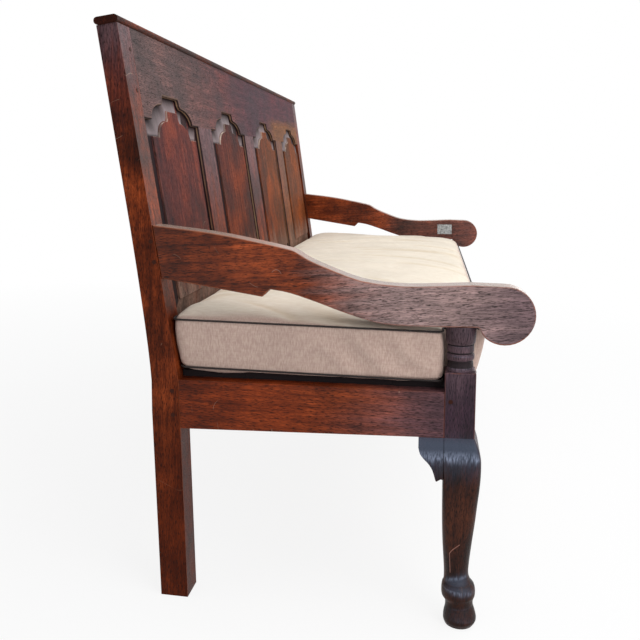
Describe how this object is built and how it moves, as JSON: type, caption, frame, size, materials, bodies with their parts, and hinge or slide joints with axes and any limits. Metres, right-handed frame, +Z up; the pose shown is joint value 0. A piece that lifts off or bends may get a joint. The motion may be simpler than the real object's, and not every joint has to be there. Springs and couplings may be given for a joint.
{
  "type": "settle",
  "caption": "Oak settle with a raked back of arched fielded panels, open shaped arms, cabriole front legs with hoof feet, and a loose boxed squab cushion on a board seat.",
  "frame": {"origin": "on the floor, at the middle of the settle's overall box seen from above", "axes": "+X along the settle, to the right as seen from the front; +Y from the front to the back; +Z up"},
  "size_m": [1.856, 0.7906, 1.0861],
  "materials": {
    "oak": "dark waxed oak, open grain",
    "dark_oak": "near-black waxed oak",
    "worn_oak": "waxed oak, rubbed lighter",
    "peg_oak": "riven oak pegs",
    "pine": "bare softwood",
    "linen": "plain linen weave",
    "zinc": "dull grey zinc"
  },
  "bodies": {
    "root": {"rear_post_left": "oak", "rear_post_right": "oak", "side_rail_left": "oak", "side_rail_right": "oak", "front_rail": "oak", "back_seat_rail": "oak", "bottom_rail": "oak", "top_rail": "oak", "muntin_1": "oak", "muntin_2": "oak", "muntin_3": "oak", "cap_moulding": "oak", "front_leg_left": "dark_oak", "front_leg_right": "dark_oak", "side_bracket_left": "dark_oak", "side_bracket_right": "dark_oak", "front_bracket_left": "dark_oak", "front_bracket_right": "dark_oak", "panel_1": "worn_oak", "panel_2": "worn_oak", "panel_3": "worn_oak", "panel_4": "worn_oak", "arm_left": "worn_oak", "arm_right": "worn_oak", "seat_bearer_1": "pine", "seat_bearer_2": "pine", "seat_bearer_3": "pine", "seat_board_1": "pine", "seat_board_2": "pine", "seat_board_3": "pine", "seat_board_4": "pine", "side_rail_pegs": "peg_oak", "front_rail_pegs": "peg_oak", "back_pegs": "peg_oak", "arm_pegs": "peg_oak", "mending_plate": "zinc", "mending_plate_nails": "zinc", "cushion": "linen"}
  },
  "joints": []
}
